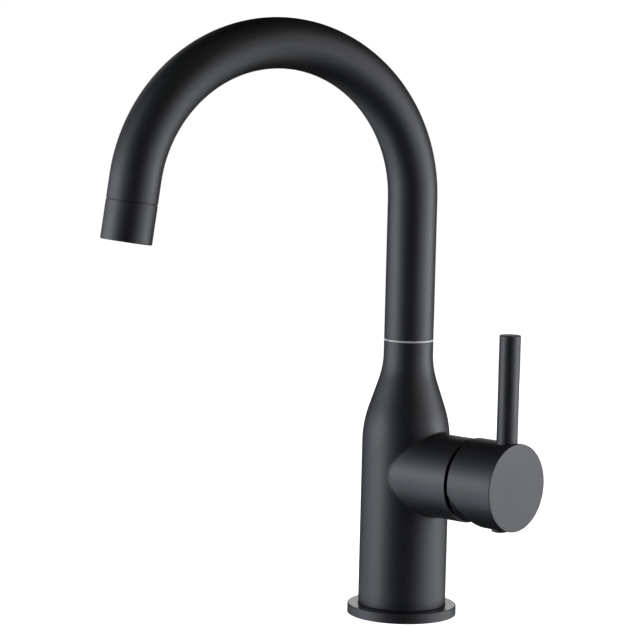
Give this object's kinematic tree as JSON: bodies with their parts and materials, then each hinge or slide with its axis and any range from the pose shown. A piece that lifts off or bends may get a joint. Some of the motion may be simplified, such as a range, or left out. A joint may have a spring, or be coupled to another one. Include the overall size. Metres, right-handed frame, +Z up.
{
  "type": "bathroom mixer faucet",
  "caption": "Single-lever deck faucet: round column, side handle cap with a rod lever, high round swivelling spout with a flush aerator.",
  "frame": {"origin": "on the column's axis, in the plane of the base flange's underside, which rests on the deck", "axes": "+Z up along the column; +X along the cartridge and handle axis, from the column to the handle cap; the spout at rest points mostly along -Y"},
  "size_m": [0.1379, 0.1866, 0.3005],
  "materials": {
    "matte_black": "fine matte black paint, smooth satin sheen",
    "brass": "turned brass",
    "white_plastic": "white low-friction plastic",
    "grey_plastic": "grey moulded plastic",
    "black_rubber": "moulded black rubber",
    "steel": "stainless steel",
    "ceramic": "lapped ceramic"
  },
  "bodies": {
    "column": {"body_casting": "matte_black", "base_flange": "matte_black", "base_gasket": "black_rubber", "spout_retaining_screw": "steel", "cartridge_base": "white_plastic", "port_seals": "black_rubber", "disc_seals": "black_rubber", "fixed_disc": "ceramic", "cartridge_shell": "white_plastic", "retaining_nut": "brass", "trim_dome": "matte_black"},
    "spout": {"glide_ring": "white_plastic", "lower_glide_ring": "white_plastic", "spout_tube": "matte_black", "spout_nipple": "brass", "spout_o_ring_upper": "black_rubber", "spout_o_ring_lower": "black_rubber", "outlet_adapter": "brass", "aerator_housing": "matte_black", "aerator_gasket": "black_rubber", "flow_regulator": "grey_plastic", "aerator_screens": "steel", "aerator_insert": "grey_plastic"},
    "valve_rotor": {"cartridge_rotor": "grey_plastic", "rotor_seal": "black_rubber", "stem_pivot_pin": "steel"},
    "handle": {"cartridge_stem": "brass", "handle_cap": "matte_black", "lever_rod": "matte_black", "handle_set_screw": "steel", "screw_cover_plug": "matte_black"},
    "valve_disc": {"moving_disc": "ceramic", "disc_carrier": "grey_plastic"}
  },
  "joints": [
    {"name": "spout_swivel", "type": "hinge", "parent": "column", "child": "spout", "pos_m": [0, 0, 0.13], "axis": [0, 0, 1], "continuous": true},
    {"name": "temperature", "type": "hinge", "parent": "column", "child": "valve_rotor", "pos_m": [0.04, 0, 0.07385], "axis": [1, 0, 0], "range_deg": [-45, 45]},
    {"name": "handle_tilt", "type": "hinge", "parent": "valve_rotor", "child": "handle", "pos_m": [0.04, 0, 0.07385], "axis": [0, 1, 0], "range_deg": [0, 24]},
    {"name": "disc_slide", "type": "slide", "parent": "valve_rotor", "child": "valve_disc", "axis": [0, 0, 1], "range_m": [0, 0.0034]}
  ],
  "couplings": [
    {"joint": "disc_slide", "follows": "handle_tilt", "m_per_rad": 0.0078}
  ]
}
